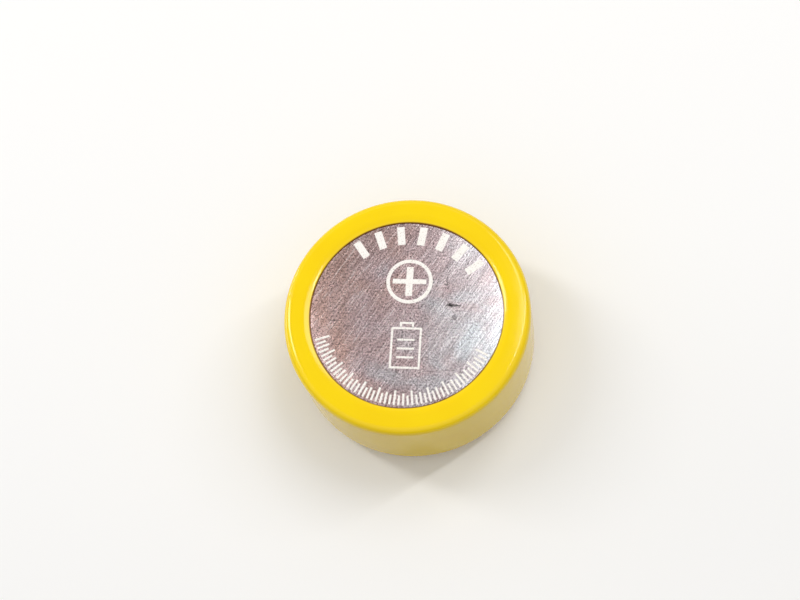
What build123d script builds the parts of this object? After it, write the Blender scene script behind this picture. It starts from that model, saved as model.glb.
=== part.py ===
# A rechargeable lithium coin cell, 12.1 mm across and 5.4 mm high without its film sleeve.
# Two metal cups nest, the can outside and the cap inside, with a plastic gasket between them.
# The can's rim is crimped in under the cap's shoulder. A wound roll of electrodes fills the cups.
# Millimetres, +Z towards the positive face, z = 0 on the negative face, the axis at x = y = 0.
import os
from math import sqrt

from build123d import *

# The bare cell
cell_diameter = 12.1
cell_height = 5.4
can_wall = 0.15
can_corner = 0.3  # outside radius where the positive face turns into the side
crimp_radius = 0.9  # outside radius of the rim's inward curl
crimp_height = 0.25  # the rim's lowest point above the negative face
crimp_lap = 0.2  # flat stretch of the rim past the curl

# The cap and its gasket
cap_wall = 0.15
cap_face_radius = 4.7
cap_corner = 0.2  # outside radius round the negative face
skirt_room = 0.5  # from the can's inner face to the gasket over the skirt's edge
gasket_wall = 0.15
gasket_show = 0.05  # how far the gasket stands out past the crimped rim

# The film sleeve
film = 0.1
lap_film = 0.13  # over the positive face, where shrinking thickens it
window_lap = 1.34  # from the sleeve's side in to the edge of the window
lip_slope = 0.4  # width of the sloping band beside the window
lip_film = 0.06  # thickness left at the window's edge
under_lap = 1.1  # from the sleeve's side in to its edge under the crimp

# The roll
cathode_thickness = 0.13
anode_thickness = 0.13
separator_thickness = 0.03
wrap_gap = 0.01  # between wound layers, and round the tape and the tabs
least_core = 0.9
roll_room = 0.2  # between the cap's skirt and the tape
tape_thickness = 0.04
tape_margin = 0.15  # the roll stands out of the tape by this at each end
anode_inset = 0.1  # the anode is lower than the separators at each end
cathode_inset = 0.2
insulator_thickness = 0.1
hole_margin = 0.1  # the discs' holes are this much wider than the roll's core
insulator_margin = 0.2  # the discs are this much smaller than the tape's bore

# The tabs
positive_tab_thickness = 0.08
negative_tab_thickness = 0.06
tab_width = 1.5
tab_bend = 0.2
positive_tab_leg = 2.6  # down into the core
positive_tab_reach = 3.6  # radius at its end on the can
negative_tab_leg = 2.6  # up the side of the roll
negative_tab_reach = 1.6  # radius at its end on the cap
tab_clearance = 0.02

# Worked out from the sizes above
can_radius = cell_diameter / 2
sleeve_radius = can_radius + film
window_radius = sleeve_radius - window_lap
gasket_radius = can_radius - can_wall
cap_radius = gasket_radius - gasket_wall
cap_bore = cap_radius - cap_wall
crimp_centre_radius = can_radius - crimp_radius
crimp_centre_height = crimp_height + crimp_radius
rim_radius = crimp_centre_radius - crimp_lap
can_ceiling = cell_height - can_wall
skirt_top = can_ceiling - skirt_room - gasket_wall

tape_radius = cap_bore - roll_room
tape_bore = tape_radius - tape_thickness
negative_tab_radius = tape_bore - wrap_gap
roll_radius = negative_tab_radius - negative_tab_thickness - wrap_gap

inner_separator_start = cathode_thickness + wrap_gap
anode_start = inner_separator_start + separator_thickness + wrap_gap
outer_separator_start = anode_start + anode_thickness + wrap_gap
pitch = outer_separator_start + separator_thickness + wrap_gap
layers = anode_start + anode_thickness
turns = int((roll_radius - layers - least_core) / pitch)
core_radius = roll_radius - layers - turns * pitch

# The cap's inner curl has the crimp's centre. The negative tab's outer corner stays clear of it.
curl_inside = crimp_radius - can_wall - gasket_wall - cap_wall
corner_reach = max(negative_tab_radius - crimp_centre_radius, 0)
corner_depth = sqrt((curl_inside - tab_clearance) ** 2 - corner_reach**2)
negative_tab_height = crimp_centre_height - corner_depth
shoulder_floor = crimp_centre_height - curl_inside
negative_insulator_height = negative_tab_height + negative_tab_thickness + wrap_gap
roll_bottom = negative_insulator_height + insulator_thickness + wrap_gap
positive_insulator_height = can_ceiling - positive_tab_thickness - wrap_gap - insulator_thickness
roll_top = positive_insulator_height - wrap_gap
insulator_radius = tape_bore - insulator_margin


def turned(corners):
    # Corners are (radius, height, fillet), in order round the section.
    points = [(radius, height) for radius, height, _ in corners]
    fillets = [fillet for _, _, fillet in corners]
    section = make_face(FilletPolyline(*points, radius=fillets, close=True))
    # Left uncleaned, so that a face stays split where a corner lies on a straight line.
    return revolve(Plane.XZ * section, Axis.Z, clean=False)


def ring(bore, radius, low, high):
    return turned([(bore, low, 0), (radius, low, 0), (radius, high, 0), (bore, high, 0)])


def positive_can():
    rim_low = crimp_height
    rim_high = crimp_height + can_wall
    inside = can_radius - can_wall
    return turned([
        (0, cell_height, 0),
        (window_radius, cell_height, 0),  # the bare face ends here, and the sleeve's lap starts
        (can_radius, cell_height, can_corner),
        (can_radius, rim_low, crimp_radius),
        (rim_radius, rim_low, 0),
        (rim_radius, rim_high, 0),
        (inside, rim_high, crimp_radius - can_wall),
        (inside, can_ceiling, can_corner - can_wall),
        (0, can_ceiling, 0),
    ])


def sealing_gasket():
    foot_low = crimp_height + can_wall
    foot_high = foot_low + gasket_wall
    lip = rim_radius - gasket_show
    outside_curl = crimp_radius - can_wall
    return turned([
        (lip, foot_low, 0),
        (gasket_radius, foot_low, outside_curl),
        (gasket_radius, skirt_top + gasket_wall, 0),
        (cap_bore, skirt_top + gasket_wall, 0),
        (cap_bore, skirt_top, 0),
        (cap_radius, skirt_top, 0),
        (cap_radius, foot_high, outside_curl - gasket_wall),
        (lip, foot_high, 0),
    ])


def negative_cap():
    shoulder_low = shoulder_floor - cap_wall
    face_inside = cap_face_radius - cap_wall
    return turned([
        (0, 0, 0),
        (cap_face_radius, 0, cap_corner),
        (cap_face_radius, shoulder_low, 0),
        (cap_radius, shoulder_low, curl_inside + cap_wall),
        (cap_radius, skirt_top, 0),
        (cap_bore, skirt_top, 0),
        (cap_bore, shoulder_floor, curl_inside),
        (face_inside, shoulder_floor, 0),
        (face_inside, cap_wall, cap_corner - cap_wall),
        (0, cap_wall, 0),
    ])


def insulating_sleeve():
    lap_top = cell_height + lap_film
    under_low = crimp_height - film
    under_edge = sleeve_radius - under_lap
    return turned([
        (window_radius, cell_height, 0),
        (window_radius, cell_height + lip_film, 0),
        (window_radius + lip_slope, lap_top, lip_slope / 2),
        (sleeve_radius, lap_top, can_corner + film),
        (sleeve_radius, under_low, crimp_radius + film),
        (under_edge, under_low, 0),
        (under_edge, crimp_height, 0),
        (can_radius, crimp_height, crimp_radius),
        (can_radius, cell_height, can_corner),
    ])


def wound_strip(start, thickness, inset, half_turns):
    # Half turns about two centres half a pitch apart, each half a pitch larger than the one before.
    def side(distance):
        arcs = []
        for half in range(half_turns):
            centre = (pitch / 2 * (half % 2), 0)
            radius = core_radius + distance + half * pitch / 2
            arcs.append(CenterArc(centre, radius, 180 * (half % 2), 180))
        return arcs

    inner = side(start)
    outer = side(start + thickness)
    ends = [Line(inner[0] @ 0, outer[0] @ 0), Line(inner[-1] @ 1, outer[-1] @ 1)]
    outline = make_face([*inner, *outer, *ends])
    return extrude(Pos(0, 0, roll_bottom + inset) * outline, roll_top - roll_bottom - 2 * inset)


def folded_tab(corners, towards):
    # A band cut from a turned section: towards is +1 or -1, the side of the axis that it lies on.
    reach = max(radius for radius, _, _ in corners)
    band = Pos(towards * reach / 2, 0, 0) * Box(reach, tab_width, 4 * cell_height)
    return turned(corners) & band


def positive_tab():
    outside = core_radius - wrap_gap
    inside = outside - positive_tab_thickness
    bottom = roll_top - positive_tab_leg
    under = can_ceiling - positive_tab_thickness
    return folded_tab([
        (inside, bottom, 0),
        (inside, can_ceiling, tab_bend),
        (positive_tab_reach, can_ceiling, 0),
        (positive_tab_reach, under, 0),
        (outside, under, tab_bend - positive_tab_thickness),
        (outside, bottom, 0),
    ], -1)


def negative_tab():
    outside = negative_tab_radius
    inside = outside - negative_tab_thickness
    low = negative_tab_height
    high = low + negative_tab_thickness
    top = roll_bottom + negative_tab_leg
    drop = cap_face_radius - cap_wall - cap_corner
    floor = cap_wall
    return folded_tab([
        (outside, top, 0),
        (outside, low, tab_bend),
        (drop, low, 0),
        (drop, floor, 0),
        (negative_tab_reach, floor, 0),
        (negative_tab_reach, floor + negative_tab_thickness, 0),
        (drop - negative_tab_thickness, floor + negative_tab_thickness, 0),
        (drop - negative_tab_thickness, high, 0),
        (inside, high, tab_bend - negative_tab_thickness),
        (inside, top, 0),
    ], 1)


def insulator(height):
    return ring(core_radius + hole_margin, insulator_radius, height, height + insulator_thickness)


pieces = {
    "insulating_sleeve": insulating_sleeve(),
    "positive_can": positive_can(),
    "negative_cap": negative_cap(),
    "sealing_gasket": sealing_gasket(),
    "cathode_strip": wound_strip(0, cathode_thickness, cathode_inset, 2 * turns),
    "inner_separator": wound_strip(inner_separator_start, separator_thickness, 0, 2 * turns),
    "anode_strip": wound_strip(anode_start, anode_thickness, anode_inset, 2 * turns),
    # One half turn short, so that the anode's outer end is bare under the negative tab.
    "outer_separator": wound_strip(outer_separator_start, separator_thickness, 0, 2 * turns - 1),
    "closing_tape": ring(tape_bore, tape_radius, roll_bottom + tape_margin, roll_top - tape_margin),
    "positive_insulator": insulator(positive_insulator_height),
    "negative_insulator": insulator(negative_insulator_height),
    "positive_tab": positive_tab(),
    "negative_tab": negative_tab(),
}

os.makedirs("parts", exist_ok=True)
for name, piece in pieces.items():
    export_step(piece, f"parts/{name}.step")
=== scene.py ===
from math import cos, pi, radians, sin

import bmesh
import bpy
from mathutils import Matrix, Vector


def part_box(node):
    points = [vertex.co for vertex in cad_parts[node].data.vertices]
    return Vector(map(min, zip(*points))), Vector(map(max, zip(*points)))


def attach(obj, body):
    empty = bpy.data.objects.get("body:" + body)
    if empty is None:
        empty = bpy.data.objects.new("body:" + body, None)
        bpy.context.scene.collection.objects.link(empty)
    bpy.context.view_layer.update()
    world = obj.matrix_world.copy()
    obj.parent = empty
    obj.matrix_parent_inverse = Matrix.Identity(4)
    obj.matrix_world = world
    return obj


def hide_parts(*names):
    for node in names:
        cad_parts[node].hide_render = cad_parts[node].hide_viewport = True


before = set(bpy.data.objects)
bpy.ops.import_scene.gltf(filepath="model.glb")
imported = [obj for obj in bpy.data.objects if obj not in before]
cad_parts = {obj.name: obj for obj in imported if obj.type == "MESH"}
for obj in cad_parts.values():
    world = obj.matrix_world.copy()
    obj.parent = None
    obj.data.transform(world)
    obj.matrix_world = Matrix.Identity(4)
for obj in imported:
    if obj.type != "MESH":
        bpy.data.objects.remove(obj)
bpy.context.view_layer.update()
mm = 0.001
print("frame loaded:", len(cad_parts), "nodes")


# helpers shared by every piece
def linear(hexCode):
    # sRGB hex to the linear values that Blender's colour sockets take
    channels = [int(hexCode[i:i + 2], 16) / 255 for i in (1, 3, 5)]
    return [c / 12.92 if c <= 0.04045 else ((c + 0.055) / 1.055) ** 2.4 for c in channels] + [1.0]


def addNode(tree, kind, settings=None, links=None):
    # settings are sockets by name or number, the node's own properties, or a colour ramp's stops,
    # which are (position, hex colour) from low to high; links feed sockets
    node = tree.nodes.new(kind)
    for key, value in (settings or {}).items():
        if key == "stops":
            elements = node.color_ramp.elements
            while len(elements) < len(value):
                elements.new(0.5)
            for element, (position, colour) in zip(elements, value):
                element.position = position
                element.color = linear(colour)
        elif isinstance(key, str) and hasattr(node, key):
            setattr(node, key, value)
        else:
            node.inputs[key].default_value = value
    for key, source in (links or {}).items():
        tree.links.new(source, node.inputs[key])
    return node


def startMaterial(name, surface):
    # returns the material's tree, its shader and the object's coordinates in metres
    material = bpy.data.materials.new(name)
    material.use_nodes = True
    tree = material.node_tree
    tree.nodes.clear()
    shader = addNode(tree, "ShaderNodeBsdfPrincipled", surface)
    addNode(tree, "ShaderNodeOutputMaterial", links={"Surface": shader.outputs[0]})
    place = addNode(tree, "ShaderNodeTexCoord").outputs["Object"]
    return material, tree, shader, place


def giveMaterial(obj, material):
    obj.data.materials.clear()
    obj.data.materials.append(material)


def arcPoints(centre, radius, startDeg, endDeg, steps):
    turn = [radians(startDeg + (endDeg - startDeg) * i / steps) for i in range(steps + 1)]
    return [(centre[0] + radius * cos(a), centre[1] + radius * sin(a)) for a in turn]


def finishMesh(name, bm, material, smooth=True):
    mesh = bpy.data.meshes.new(name)
    bmesh.ops.recalc_face_normals(bm, faces=bm.faces)
    bm.to_mesh(mesh)
    bm.free()
    for face in mesh.polygons:
        face.use_smooth = smooth
    obj = bpy.data.objects.new(name, mesh)
    bpy.context.collection.objects.link(obj)
    giveMaterial(obj, material)
    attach(obj, "root")
    return obj


# the film sleeve: a closed section turned round the axis, with the small waves of shrunk film
sleeve = {
    "windowRadius": 4.81,
    "lipWidth": 0.42,  # the band that slopes down to the metal
    "edgeSlant": 0.025,  # half the width of the slanting cut edge
    "lipEdge": 0.062,  # film thickness at the window's edge
    "shoulder": 0.4,
    "curl": 1.0,  # outside radius where the film follows the crimp
    "underEdge": 5.05,
    "film": 0.1,
    "windowWave": 0.012,
    "underWave": 0.05,
    "patchSize": 2.5,  # stretches of film that shrank a little more or less
    "markSize": 0.588,  # shallow shrink marks
    "markDepth": 0.02,
    # painted shade: dark brown for the gap between the film's cut edge and the metal
    "edgeShadeBrown": "#865409",
    "segments": 288,
}


def sleeveSection():
    low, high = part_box("insulating_sleeve")
    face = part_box("positive_can")[1][2] / mm
    side, top, bottom = high[0] / mm, high[2] / mm, low[2] / mm
    s = sleeve
    drop = top - face - s["lipEdge"]
    lip = [(s["windowRadius"] - s["edgeSlant"], face),
           (s["windowRadius"] + s["edgeSlant"], face + s["lipEdge"] * 0.8)]
    for i in range(15):
        along = i / 14  # from the window's edge out to the flat of the ring
        reach = s["windowRadius"] + s["edgeSlant"] + 0.01 + s["lipWidth"] * along
        lip.append((reach, top - drop * (1 - along) ** 2))
    outside = arcPoints((side - s["shoulder"], top - s["shoulder"]), s["shoulder"], 90, 0, 14)
    outside += [(side, top - s["shoulder"] - (top - bottom - s["shoulder"] - s["curl"]) * k / 8)
                for k in range(1, 8)]
    outside += arcPoints((side - s["curl"], bottom + s["curl"]), s["curl"], 0, -90, 16)
    under = [(s["underEdge"], bottom), (s["underEdge"], bottom + s["film"])]
    inside = arcPoints((side - s["curl"], bottom + s["curl"]), s["curl"] - s["film"], -90, 0, 12)
    corner = s["shoulder"] - s["film"]
    inside += arcPoints((side - s["film"] - corner, face - corner), corner, 0, 90, 6)
    return lip + outside + under + inside


def sleeveWave(radius, height, turn):
    # shrunk film never ends in a perfect circle: the two free edges wander a little
    s = sleeve
    nearWindow = max(0.0, 1 - (radius - s["windowRadius"]) / s["lipWidth"]) if height > 3 else 0.0
    nearUnder = max(0.0, 1 - (radius - s["underEdge"]) / 0.4) if height < 1 else 0.0
    wander = sin(3 * turn + 0.6) + 0.6 * sin(7 * turn + 2.1) + 0.4 * sin(13 * turn)
    gather = sin(5 * turn) + 0.7 * sin(11 * turn + 1.3) + 0.5 * sin(23 * turn + 0.4)
    return radius + nearWindow * s["windowWave"] * wander + nearUnder * s["underWave"] * gather, height


def turnSection(name, section, segments, wave, material):
    bm = bmesh.new()
    rings = []
    for i in range(segments):
        turn = 2 * pi * i / segments
        ring = []
        for radius, height in section:
            r, z = wave(radius, height, turn)
            ring.append(bm.verts.new((r * mm * cos(turn), r * mm * sin(turn), z * mm)))
        rings.append(ring)
    for i in range(segments):
        here, there = rings[i], rings[(i + 1) % segments]
        for k in range(len(section)):
            n = (k + 1) % len(section)
            bm.faces.new((here[k], there[k], there[n], here[n]))
    return finishMesh(name, bm, material)


def shrinkFilm():
    # heat-shrunk PVC film: saturated yellow under a glossy skin, with faint stretch marks
    look = {"Roughness": 0.12, "IOR": 1.54, "Specular IOR Level": 0.4}
    material, tree, shader, place = startMaterial("heatShrunkPvcFilm", look)
    patches = addNode(tree, "ShaderNodeTexNoise",
                      {"Scale": 1 / (sleeve["patchSize"] * mm), "Detail": 2.0}, {"Vector": place})
    tone = addNode(tree, "ShaderNodeValToRGB", {"stops": [(0.3, "#fdd600"), (0.7, "#ffdb01")]},
                   {"Fac": patches.outputs["Fac"]})
    # a thin band at the film's cut edge, all round the window, is painted dark brown: painted shade of
    # the gap between the film's edge and the metal
    split = addNode(tree, "ShaderNodeSeparateXYZ", links={"Vector": place})
    flat = addNode(tree, "ShaderNodeCombineXYZ",
                   links={"X": split.outputs["X"], "Y": split.outputs["Y"]})
    radius = addNode(tree, "ShaderNodeVectorMath", {"operation": "LENGTH"},
                     {0: flat.outputs["Vector"]})
    edge = addNode(tree, "ShaderNodeMapRange",
                   {"From Min": (sleeve["windowRadius"] + 0.01) * mm,
                    "From Max": (sleeve["windowRadius"] + 0.07) * mm, "To Min": 1.0, "To Max": 0.0},
                   {"Value": radius.outputs["Value"]})
    colour = addNode(tree, "ShaderNodeMix", {"data_type": "RGBA", 7: linear(sleeve["edgeShadeBrown"])},
                     {0: edge.outputs["Result"], 6: tone.outputs["Color"]})
    tree.links.new(colour.outputs[2], shader.inputs["Base Color"])
    marks = addNode(tree, "ShaderNodeTexNoise",
                    {"Scale": 1 / (sleeve["markSize"] * mm), "Detail": 3.0}, {"Vector": place})
    bump = addNode(tree, "ShaderNodeBump",
                   {"Strength": 0.22, "Distance": sleeve["markDepth"] * mm},
                   {"Height": marks.outputs["Fac"]})
    tree.links.new(bump.outputs["Normal"], shader.inputs["Normal"])
    return material


sleeveObject = turnSection("shrunkSleeve", sleeveSection(), sleeve["segments"], sleeveWave,
                           shrinkFilm())
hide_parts("insulating_sleeve")
print("sleeve made")

# the can: nickel-plated steel, drawn, then scuffed by handling
can = {
    "scratchTurn": 58.0,  # degrees from +X that the scuffs run
    # real scuffs and specks are about 0.01 mm wide: these are coarser, so that they show
    "scratchWidth": 0.05,
    "scratchLength": 1.1,
    "speckle": 0.09,
    "grainDepth": 0.016,
    "stain": 2.6,
    "paintedSheenSlant": (62.0, -8.0, 0.0),  # how fast the colour turns pale and neutral towards +X and -Y, per metre: a painted reflection of the lamps on that side
    # near white of the deepest scuffs: bare plating with painted glints
    "bareAndGlintTone": "#efebea",
    "crown": 0.075,  # how far the face falls off towards its rim, in mm
    # dark marks of handling: centre, size and darkest tone
    "marks": [((2.32, 0.5), (0.42, 0.08), 0.16), ((2.16, 0.54), (0.15, 0.13), 0.12),
              ((2.42, -0.12), (0.17, 0.2), 0.55), ((1.95, 1.75), (0.06, 0.5), 0.5),
              ((-2.9, -0.7), (0.34, 0.05), 0.5), ((-3.6, -0.45), (0.3, 0.05), 0.55)],
}


def scuffedNickel():
    # nickel-plated steel: a warm grey mirror dulled by fine slanting scuffs and specks
    material, tree, shader, place = startMaterial("scuffedNickelPlate", {"Metallic": 1.0})
    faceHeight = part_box("positive_can")[1][2]
    turned = addNode(tree, "ShaderNodeMapping",
                     {"vector_type": "TEXTURE", "Rotation": (0.0, 0.0, radians(can["scratchTurn"])),
                      "Scale": (can["scratchLength"] * mm, can["scratchWidth"] * mm, mm)},
                     {"Vector": place})
    scratches = addNode(tree, "ShaderNodeTexNoise", {"Scale": 1.0, "Detail": 3.0, "Roughness": 0.6},
                        {"Vector": turned.outputs["Vector"]})
    specks = addNode(tree, "ShaderNodeTexNoise",
                     {"Scale": 1 / (can["speckle"] * mm), "Detail": 2.0, "Roughness": 0.7},
                     {"Vector": place})
    stains = addNode(tree, "ShaderNodeTexNoise",
                     {"Scale": 1 / (can["stain"] * mm), "Detail": 4.0, "Distortion": 0.6},
                     {"Vector": place})
    # the plating's colour: brownish to mauve, partly its own tint and partly a painted reflection of a
    # warm room, turning pale and neutral towards +X and -Y as a painted reflection of the lamps there;
    # random stains break it up
    slant = addNode(tree, "ShaderNodeVectorMath", {"operation": "DOT_PRODUCT", 1: can["paintedSheenSlant"]},
                    {0: place})
    spread = addNode(tree, "ShaderNodeMath", {"operation": "ADD"},
                     {0: slant.outputs["Value"], 1: stains.outputs["Fac"]})
    tintAndSheen = addNode(tree, "ShaderNodeValToRGB",
                    {"stops": [(0.22, "#cca9a0"), (0.5, "#cab1b2"), (0.8, "#d6d8dc")]},
                    {"Fac": spread.outputs["Value"]})
    grain = addNode(tree, "ShaderNodeMath", {"operation": "MULTIPLY"},
                    {0: scratches.outputs["Fac"], 1: specks.outputs["Fac"]})
    dark = addNode(tree, "ShaderNodeMapRange",
                   {"From Min": 0.12, "From Max": 0.38, "To Min": 0.5, "To Max": 1.32},
                   {"Value": grain.outputs["Value"]})
    colour = addNode(tree, "ShaderNodeMix",
                     {"data_type": "RGBA", "blend_type": "MULTIPLY", 0: 1.0},
                     {6: tintAndSheen.outputs["Color"], 7: dark.outputs["Result"]})
    # the deepest scuffs are painted near white: bare plating, and painted glints of the lamps in them
    cut = addNode(tree, "ShaderNodeMapRange",
                  {"From Min": 0.56, "From Max": 0.72, "To Min": 0.0, "To Max": 0.75},
                  {"Value": scratches.outputs["Fac"]})
    bareAndGlints = addNode(tree, "ShaderNodeMix", {"data_type": "RGBA", 7: linear(can["bareAndGlintTone"])},
                    {0: cut.outputs["Result"], 6: colour.outputs[2]})
    shaded = bareAndGlints.outputs[2]
    ragged = addNode(tree, "ShaderNodeMath", {"operation": "MULTIPLY_ADD", 1: 1.4, 2: -0.7},
                     {0: specks.outputs["Fac"]})
    for centre, size, tone in can["marks"]:
        # distance from the mark's centre, in its own long and thin measure, frayed by the specks
        measure = addNode(tree, "ShaderNodeMapping",
                          {"vector_type": "TEXTURE",
                           "Location": (centre[0] * mm, centre[1] * mm, faceHeight),
                           "Scale": (size[0] * mm, size[1] * mm, 1.0)},
                          {"Vector": place})
        reach = addNode(tree, "ShaderNodeVectorMath", {"operation": "LENGTH"},
                        {0: measure.outputs["Vector"]})
        frayed = addNode(tree, "ShaderNodeMath", {"operation": "ADD"},
                         {0: reach.outputs["Value"], 1: ragged.outputs["Value"]})
        mark = addNode(tree, "ShaderNodeMapRange",
                       {"From Min": 0.4, "From Max": 1.0, "To Min": tone, "To Max": 1.0},
                       {"Value": frayed.outputs["Value"]})
        shaded = addNode(tree, "ShaderNodeMix",
                         {"data_type": "RGBA", "blend_type": "MULTIPLY", 0: 1.0},
                         {6: shaded, 7: mark.outputs["Result"]}).outputs[2]
    tree.links.new(shaded, shader.inputs["Base Color"])
    rough = addNode(tree, "ShaderNodeMapRange",
                    {"From Min": 0.3, "From Max": 0.7, "To Min": 0.2, "To Max": 0.36},
                    {"Value": specks.outputs["Fac"]})
    tree.links.new(rough.outputs["Result"], shader.inputs["Roughness"])
    # the face is flat in the middle and rolls off near its rim: height falls with radius to the fourth
    split = addNode(tree, "ShaderNodeSeparateXYZ", links={"Vector": place})
    flat = addNode(tree, "ShaderNodeCombineXYZ",
                   links={"X": split.outputs["X"], "Y": split.outputs["Y"]})
    square = addNode(tree, "ShaderNodeVectorMath", {"operation": "DOT_PRODUCT"},
                     {0: flat.outputs["Vector"], 1: flat.outputs["Vector"]})
    fourth = addNode(tree, "ShaderNodeMath", {"operation": "MULTIPLY"},
                     {0: square.outputs["Value"], 1: square.outputs["Value"]})
    crown = addNode(tree, "ShaderNodeMath",
                    {"operation": "MULTIPLY",
                     1: -can["crown"] * mm / (sleeve["windowRadius"] * mm) ** 4},
                    {0: fourth.outputs["Value"]})
    crownBump = addNode(tree, "ShaderNodeBump", {"Strength": 1.0, "Distance": 1.0},
                        {"Height": crown.outputs["Value"]})
    bump = addNode(tree, "ShaderNodeBump", {"Strength": 0.9, "Distance": can["grainDepth"] * mm},
                   {"Height": grain.outputs["Value"], "Normal": crownBump.outputs["Normal"]})
    tree.links.new(bump.outputs["Normal"], shader.inputs["Normal"])
    return material


giveMaterial(bpy.data.objects["positive_can"], scuffedNickel())
print("can finished")

# white print on the positive face: a plus in a ring, a battery outline and two plain scales
ink = {
    "thickness": 0.008,
    "wearSize": 0.0714,
    "ringCentre": (0.06, 1.7),
    "ringRadius": 1.07,
    "ringStroke": 0.18,
    "plusTall": (0.34, 1.52),
    "plusWide": (1.68, 0.25),
    "blockRadius": 4.14,
    "blockStart": 126.5,
    "blockEnd": 38.0,
    "blockCount": 7,
    "blockSize": (0.38, 0.96),
    "tickStart": 198.5,
    "tickEnd": 334.0,
    "tickCount": 49,
    "tickOuter": 4.68,
    "tickLengths": (0.74, 0.5, 0.6, 0.5),
    "tickStroke": 0.105,
    "cellCentre": (0.08, -1.62),
    "cellSize": (1.42, 2.3),
    "cellStroke": 0.105,
    "cellLevels": (-0.62, -0.17, 0.28),
}


def addRibbon(bm, points, width, closed, place):
    # a flat stroke along points in mm, with mitred corners, raised by the ink's thickness
    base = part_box("positive_can")[1][2]
    count = len(points)
    left, right = [], []
    for i, p in enumerate(points):
        before = points[i - 1] if closed or i > 0 else None
        after = points[(i + 1) % count] if closed or i < count - 1 else None
        a = (Vector(p) - Vector(before)).normalized() if before else None
        b = (Vector(after) - Vector(p)).normalized() if after else None
        a, b = a or b, b or a
        normal = Vector((-(a.y + b.y), a.x + b.x)).normalized()
        reach = width / 2 / max(normal.dot(Vector((-a.y, a.x))), 0.4)
        for store, sign in ((left, 1), (right, -1)):
            q = place(Vector(p) + normal * reach * sign)
            high = bm.verts.new((q.x * mm, q.y * mm, base + ink["thickness"] * mm))
            low = bm.verts.new((q.x * mm, q.y * mm, base))
            store.append((high, low))
    spans = range(count if closed else count - 1)
    for i in spans:
        n = (i + 1) % count
        bm.faces.new((left[i][0], right[i][0], right[n][0], left[n][0]))
        bm.faces.new((left[i][1], left[i][0], left[n][0], left[n][1]))
        bm.faces.new((right[i][0], right[i][1], right[n][1], right[n][0]))
    if not closed:
        for i in (0, count - 1):
            bm.faces.new((left[i][0], left[i][1], right[i][1], right[i][0]))


def circle(radius, steps):
    return [(radius * cos(2 * pi * i / steps), radius * sin(2 * pi * i / steps)) for i in range(steps)]


def shift(centre):
    return lambda p: p + Vector(centre)


def onArc(radius, angle, inward):
    # places a small drawing upright on an arc, its top facing out or in
    turn = radians(angle + (90 if inward else -90))
    centre = Vector((radius * cos(radians(angle)), radius * sin(radians(angle))))
    return lambda p: centre + Matrix.Rotation(turn, 2) @ p


def whiteInk():
    # pad-printed white ink: matt and nearly opaque, with the metal showing through in specks
    material, tree, shader, place = startMaterial("padPrintedWhiteInk", {"Roughness": 0.45})
    wear = addNode(tree, "ShaderNodeTexNoise", {"Scale": 1 / (ink["wearSize"] * mm), "Detail": 2.0},
                   {"Vector": place})
    tone = addNode(tree, "ShaderNodeValToRGB", {"stops": [(0.3, "#d9cfc6"), (0.45, "#fffaf2")]},
                   {"Fac": wear.outputs["Fac"]})
    tree.links.new(tone.outputs["Color"], shader.inputs["Base Color"])
    return material


def printPlus():
    # a ring, one tall bar and an arm on each side of it
    bm = bmesh.new()
    place = shift(ink["ringCentre"])
    addRibbon(bm, circle(ink["ringRadius"], 72), ink["ringStroke"], True, place)
    wide, tall = ink["plusTall"]
    addRibbon(bm, [(0, -tall / 2), (0, tall / 2)], wide, False, place)
    reach, thick = ink["plusWide"]
    for side in (-1, 1):
        addRibbon(bm, [(side * wide / 2, 0), (side * reach / 2, 0)], thick, False, place)
    return bm


def printBlocks():
    # bold upright blocks spaced along the upper arc
    bm = bmesh.new()
    wide, tall = ink["blockSize"]
    for i in range(ink["blockCount"]):
        angle = ink["blockStart"] + (ink["blockEnd"] - ink["blockStart"]) * i / (ink["blockCount"] - 1)
        place = onArc(ink["blockRadius"], angle, False)
        addRibbon(bm, [(0, -tall / 2), (0, tall / 2)], wide, False, place)
    return bm


def printTicks():
    # a fine scale along the lower edge, in a repeating order of lengths
    bm = bmesh.new()
    for i in range(ink["tickCount"]):
        length = ink["tickLengths"][i % len(ink["tickLengths"])]
        angle = ink["tickStart"] + (ink["tickEnd"] - ink["tickStart"]) * i / (ink["tickCount"] - 1)
        place = onArc(ink["tickOuter"], angle, True)
        addRibbon(bm, [(0, 0), (0, length)], ink["tickStroke"], False, place)
    return bm


def printCellOutline():
    # a plain outline of an upright battery with three level lines
    bm = bmesh.new()
    place = shift(ink["cellCentre"])
    wide, tall = ink["cellSize"][0] / 2, ink["cellSize"][1] / 2
    stroke = ink["cellStroke"]
    neck = wide * 0.42
    body = [(-wide, -tall), (wide, -tall), (wide, tall - 0.28), (-wide, tall - 0.28)]
    addRibbon(bm, body, stroke, True, place)
    addRibbon(bm, [(-neck, tall - 0.2), (-neck, tall), (neck, tall), (neck, tall - 0.2)], stroke, False,
              place)
    for level in ink["cellLevels"]:
        addRibbon(bm, [(-wide * 0.6, level), (wide * 0.6, level)], stroke, False, place)
    return bm


inkMaterial = whiteInk()
for name, draw in (("printedPlus", printPlus), ("printedBlocks", printBlocks),
                   ("printedTicks", printTicks), ("printedCellOutline", printCellOutline)):
    finishMesh(name, draw(), inkMaterial, smooth=False)
print("print laid on")

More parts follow.
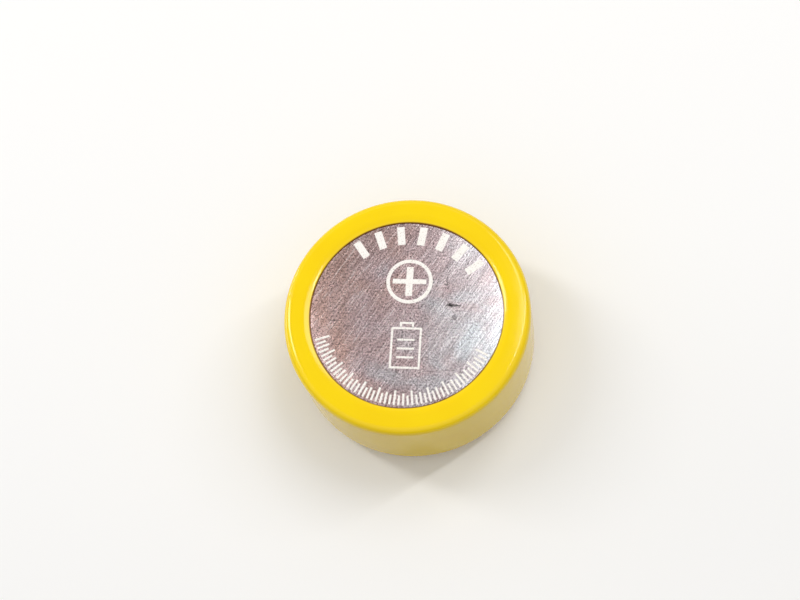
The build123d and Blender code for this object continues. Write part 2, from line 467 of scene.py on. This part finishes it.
# the other CAD pieces keep their shape and get the finish of the real thing:
# material, its surface, two tones, grain in mm and depth of the grain in metres
inner = {
    # deep-drawn nickel-plated steel, a clean soft mirror
    "negative_cap": ("drawnNickelPlate", {"Metallic": 1.0, "Roughness": 0.28},
                     ("#bcb6b0", "#d8d4cf"), 0.06, 0.000001),
    # injection-moulded polypropylene, milky and a little waxy
    "sealing_gasket": ("mouldedPolypropylene", {"Roughness": 0.42, "IOR": 1.49},
                       ("#dedbd0", "#ebe8de"), 0.3, 0.000008),
    # metal oxide and carbon rolled onto foil, near black and matt
    "cathode_strip": ("calenderedOxideCoating", {"Roughness": 0.7},
                      ("#17171a", "#2a2a2e"), 0.05, 0.000006),
    # graphite rolled onto foil, dark grey with a faint sheen
    "anode_strip": ("calenderedGraphiteCoating", {"Roughness": 0.6},
                    ("#232122", "#3b3838"), 0.06, 0.000006),
    # stretched porous polyolefin, paper white
    "inner_separator": ("stretchedPolyolefinFilm", {"Roughness": 0.55, "IOR": 1.5},
                        ("#e6e6e3", "#f4f4f2"), 0.08, 0.000003),
    "outer_separator": ("stretchedPolyolefinFilm", {"Roughness": 0.55, "IOR": 1.5},
                        ("#e6e6e3", "#f4f4f2"), 0.08, 0.000003),
    # cast polyimide tape, glossy amber
    "closing_tape": ("castPolyimideTape", {"Roughness": 0.2, "IOR": 1.68},
                     ("#8f4f0c", "#b5690f"), 0.5, 0.000004),
    # punched polyester sheet, smooth and off-white
    "positive_insulator": ("punchedPolyesterDisc", {"Roughness": 0.35, "IOR": 1.57},
                           ("#dcdcd8", "#ecece8"), 0.4, 0.000004),
    "negative_insulator": ("punchedPolyesterDisc", {"Roughness": 0.35, "IOR": 1.57},
                           ("#dcdcd8", "#ecece8"), 0.4, 0.000004),
    # rolled aluminium, pale and slightly streaked
    "positive_tab": ("rolledAluminiumStrip", {"Metallic": 1.0, "Roughness": 0.32},
                     ("#d5d6d9", "#e8e9eb"), 0.1, 0.000006),
    # rolled nickel, warmer and greyer
    "negative_tab": ("rolledNickelStrip", {"Metallic": 1.0, "Roughness": 0.3},
                     ("#b9b2a6", "#d0cabf"), 0.1, 0.000006),
}


def grainedMaterial(name, surface, colours, grainMm, depth):
    # one grain drives both the tone and a shallow bump, at the size given in mm
    material, tree, shader, place = startMaterial(name, surface)
    grain = addNode(tree, "ShaderNodeTexNoise", {"Scale": 1 / (grainMm * mm), "Detail": 3.0},
                    {"Vector": place})
    tone = addNode(tree, "ShaderNodeValToRGB", {"stops": [(0.3, colours[0]), (0.7, colours[1])]},
                   {"Fac": grain.outputs["Fac"]})
    tree.links.new(tone.outputs["Color"], shader.inputs["Base Color"])
    bump = addNode(tree, "ShaderNodeBump", {"Strength": 0.4, "Distance": depth},
                   {"Height": grain.outputs["Fac"]})
    tree.links.new(bump.outputs["Normal"], shader.inputs["Normal"])
    return material


made = {}
for node, (name, surface, colours, grainMm, depth) in inner.items():
    if name not in made:
        made[name] = grainedMaterial(name, surface, colours, grainMm, depth)
    giveMaterial(bpy.data.objects[node], made[name])
print("inner pieces finished")

# the studio: pale floor, soft lamps, camera
studio = {
    "floorSize": 1.2,
    "floorGap": 0.005,  # mm under the cell, so that the floor and the cap never share a plane
    "floorColour": "#faf9f6",
    "bounceColour": "#bab8ae",
    "roomColour": "#fdfdff",
    "roomHigh": 0.74,  # radiance overhead
    "roomLow": 0.2,  # radiance at the horizon
    "roomFade": (0.1, 0.65),  # heights between which one turns into the other
    "darkPatch": (-0.12, 0.315, 0.94),  # the unlit stretch of ceiling that the flat face mirrors
    "darkShare": 0.4,
    "darkFade": (0.85, 0.97),  # cosines of the angles from the patch's middle
    # name: direction to the lamp, distance, width, height (mm), radiance
    "lamps": {
        "overheadLamp": ((0.21, 0.42, 0.88), 150.0, 38.0, 70.0, 3.5),
        "rightLamp": ((0.48, 0.31, 0.82), 150.0, 6.5, 110.0, 20.0),
        "leftLamp": ((-0.6, 0.25, 0.76), 150.0, 18.0, 84.0, 9.5),
        "lowLeftLamp": ((-0.95, 0.3, 0.12), 150.0, 100.0, 16.0, 9.0),
    },
}


def makeFloor():
    size = studio["floorSize"] / 2
    bm = bmesh.new()
    level = -studio["floorGap"] * mm
    corners = [bm.verts.new((x * size, y * size, level)) for x, y in ((-1, -1), (1, -1), (1, 1), (-1, 1))]
    bm.faces.new(corners)
    mesh = bpy.data.meshes.new("paleFloor")
    bm.to_mesh(mesh)
    bm.free()
    floor = bpy.data.objects.new("paleFloor", mesh)
    bpy.context.collection.objects.link(floor)
    # matt uncoated paper: near white to the eye, with the greyer tone kept for light that it throws back
    material, tree, shader, place = startMaterial("mattPaperFloor", {"Roughness": 0.9})
    path = addNode(tree, "ShaderNodeLightPath")
    seen = addNode(tree, "ShaderNodeMath", {"operation": "ADD"},
                   {0: path.outputs["Is Camera Ray"], 1: path.outputs["Is Glossy Ray"]})
    shown = addNode(tree, "ShaderNodeMath", {"operation": "ADD", "use_clamp": True},
                    {0: seen.outputs["Value"], 1: path.outputs["Is Transmission Ray"]})
    colour = addNode(tree, "ShaderNodeMix",
                     {"data_type": "RGBA", 6: linear(studio["bounceColour"]),
                      7: linear(studio["floorColour"])},
                     {0: shown.outputs["Value"]})
    tree.links.new(colour.outputs[2], shader.inputs["Base Color"])
    giveMaterial(floor, material)


def addLamp(name, direction, distance, width, height, radiance):
    # an area lamp's radiance is its power over pi times its area
    light = bpy.data.lights.new(name, "AREA")
    light.shape = "RECTANGLE"
    light.size, light.size_y = width * mm, height * mm
    light.energy = radiance * pi * light.size * light.size_y
    lamp = bpy.data.objects.new(name, light)
    aim = Vector(direction).normalized()
    lamp.location = aim * distance * mm
    lamp.rotation_mode = "QUATERNION"
    lamp.rotation_quaternion = aim.to_track_quat("Z", "Y")
    lamp.visible_camera = False
    bpy.context.collection.objects.link(lamp)


makeFloor()
for name, settings in studio["lamps"].items():
    addLamp(name, *settings)


def lightRoom():
    # a bright ceiling that fades to a dim horizon, so that upright sides fall darker than flat tops;
    # the same again below, which only a view without the floor ever sees
    world = bpy.data.worlds.new("studioRoom")
    bpy.context.scene.world = world
    world.use_nodes = True
    tree = world.node_tree
    tree.nodes.clear()
    direction = addNode(tree, "ShaderNodeTexCoord").outputs["Generated"]
    split = addNode(tree, "ShaderNodeSeparateXYZ", links={"Vector": direction})
    height = addNode(tree, "ShaderNodeMath", {"operation": "ABSOLUTE"}, {0: split.outputs["Z"]})
    ceiling = addNode(tree, "ShaderNodeMapRange",
                      {"interpolation_type": "SMOOTHSTEP", "From Min": studio["roomFade"][0],
                       "From Max": studio["roomFade"][1], "To Min": studio["roomLow"],
                       "To Max": studio["roomHigh"]},
                      {"Value": height.outputs["Value"]})
    towards = addNode(tree, "ShaderNodeVectorMath",
                      {"operation": "DOT_PRODUCT", 1: Vector(studio["darkPatch"]).normalized()},
                      {0: direction})
    patch = addNode(tree, "ShaderNodeMapRange",
                    {"interpolation_type": "SMOOTHSTEP", "From Min": studio["darkFade"][0],
                     "From Max": studio["darkFade"][1], "To Min": 1.0, "To Max": studio["darkShare"]},
                    {"Value": towards.outputs["Value"]})
    strength = addNode(tree, "ShaderNodeMath", {"operation": "MULTIPLY"},
                       {0: ceiling.outputs["Result"], 1: patch.outputs["Result"]})
    background = addNode(tree, "ShaderNodeBackground", {"Color": linear(studio["roomColour"])},
                         {"Strength": strength.outputs["Value"]})
    addNode(tree, "ShaderNodeOutputWorld", links={"Surface": background.outputs[0]})


lightRoom()
print("studio lit")

# the camera, placed in mm
camera = {
    "lens": 73.0,
    "place": (10.146, -24.986, 80.818),
    "forward": (-0.1306, 0.3198, -0.9384),
    "up": (-0.0248, 0.9452, 0.3256),
}


def placeCamera():
    data = bpy.data.cameras.new("viewCamera")
    data.lens = camera["lens"]
    data.clip_start, data.clip_end = 0.001, 10.0
    obj = bpy.data.objects.new("viewCamera", data)
    forward = Vector(camera["forward"]).normalized()
    right = forward.cross(Vector(camera["up"])).normalized()
    up = right.cross(forward)
    turn = Matrix((right, up, -forward)).transposed().to_4x4()
    obj.matrix_world = Matrix.Translation(Vector(camera["place"]) * mm) @ turn
    bpy.context.collection.objects.link(obj)
    bpy.context.scene.camera = obj


placeCamera()
bpy.context.scene.view_settings.view_transform = "Standard"
